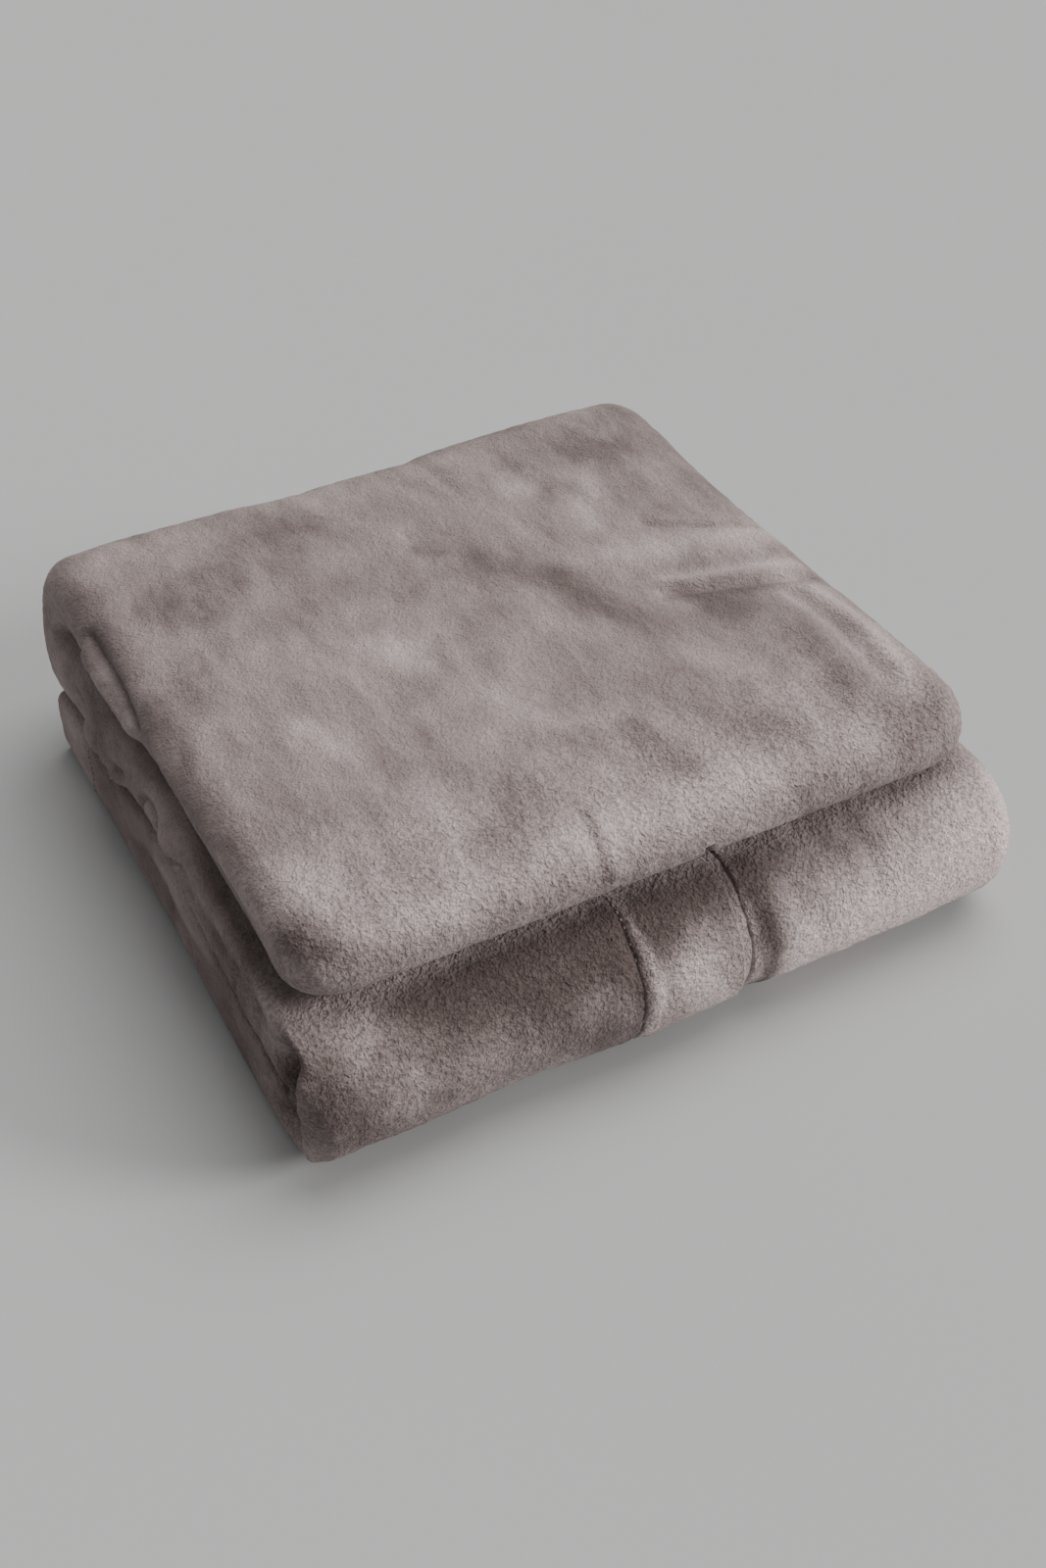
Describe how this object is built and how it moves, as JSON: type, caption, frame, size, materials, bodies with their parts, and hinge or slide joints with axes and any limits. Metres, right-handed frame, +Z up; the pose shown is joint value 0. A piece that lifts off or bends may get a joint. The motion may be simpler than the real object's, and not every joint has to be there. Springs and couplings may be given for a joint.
{
  "type": "folded throw blanket",
  "caption": "Plush throw blanket folded into a square Z-fold pack with rolled edges, turned hems and two folds that open into a flat strip.",
  "frame": {"origin": "middle of the pack's footprint, on the surface that it lies on", "axes": "+X along the front fold to the right, +Y from the front fold to the back fold, +Z up through the stack"},
  "size_m": [0.35, 0.353, 0.1107],
  "materials": {
    "plush": "deep velvety plush pile, matt, nap brushed in patches",
    "thread": "matt polyester sewing thread, tone on tone",
    "label": "blank woven satin tape, slightly glossy"
  },
  "bodies": {
    "bottom_third": {"bottom_third_outer_layer": "plush", "bottom_third_second_layer": "plush", "bottom_third_third_layer": "plush", "bottom_third_inner_layer": "plush", "bottom_third_flap_hem": "plush", "bottom_third_flap_stitching": "thread", "end_hem_outer_layer": "plush", "end_hem_second_layer": "plush", "end_hem_third_layer": "plush", "end_hem_inner_layer": "plush", "end_hem_stitching": "thread", "care_label": "label", "front_fold_outer_layer": "plush", "front_fold_second_layer": "plush", "front_fold_third_layer": "plush", "front_fold_inner_layer": "plush", "front_fold_flap_hem": "plush", "front_fold_flap_stitching": "thread"},
    "middle_third": {"middle_third_outer_layer": "plush", "middle_third_second_layer": "plush", "middle_third_third_layer": "plush", "middle_third_inner_layer": "plush", "middle_third_flap_hem": "plush", "middle_third_flap_stitching": "thread", "back_fold_outer_layer": "plush", "back_fold_second_layer": "plush", "back_fold_third_layer": "plush", "back_fold_inner_layer": "plush", "back_fold_flap_hem": "plush", "back_fold_flap_stitching": "thread"},
    "top_third": {"top_third_outer_layer": "plush", "top_third_second_layer": "plush", "top_third_third_layer": "plush", "top_third_inner_layer": "plush", "top_third_flap_hem": "plush", "top_third_flap_stitching": "thread", "top_third_closed_end": "plush"}
  },
  "joints": [
    {"name": "front_fold", "type": "hinge", "parent": "bottom_third", "child": "middle_third", "pos_m": [0, -0.13965, 0.03685], "axis": [1, 0, 0], "range_deg": [0, 179.5], "deforming": ["front_fold_outer_layer", "front_fold_second_layer", "front_fold_third_layer", "front_fold_inner_layer", "front_fold_flap_hem", "front_fold_flap_stitching"]},
    {"name": "back_fold", "type": "hinge", "parent": "middle_third", "child": "top_third", "pos_m": [0, 0.13965, 0.07385], "axis": [-1, 0, 0], "range_deg": [0, 179.5], "deforming": ["back_fold_outer_layer", "back_fold_second_layer", "back_fold_third_layer", "back_fold_inner_layer", "back_fold_flap_hem", "back_fold_flap_stitching"]}
  ],
  "couplings": [
    {"joint": "back_fold", "follows": "front_fold", "ratio": 1}
  ]
}
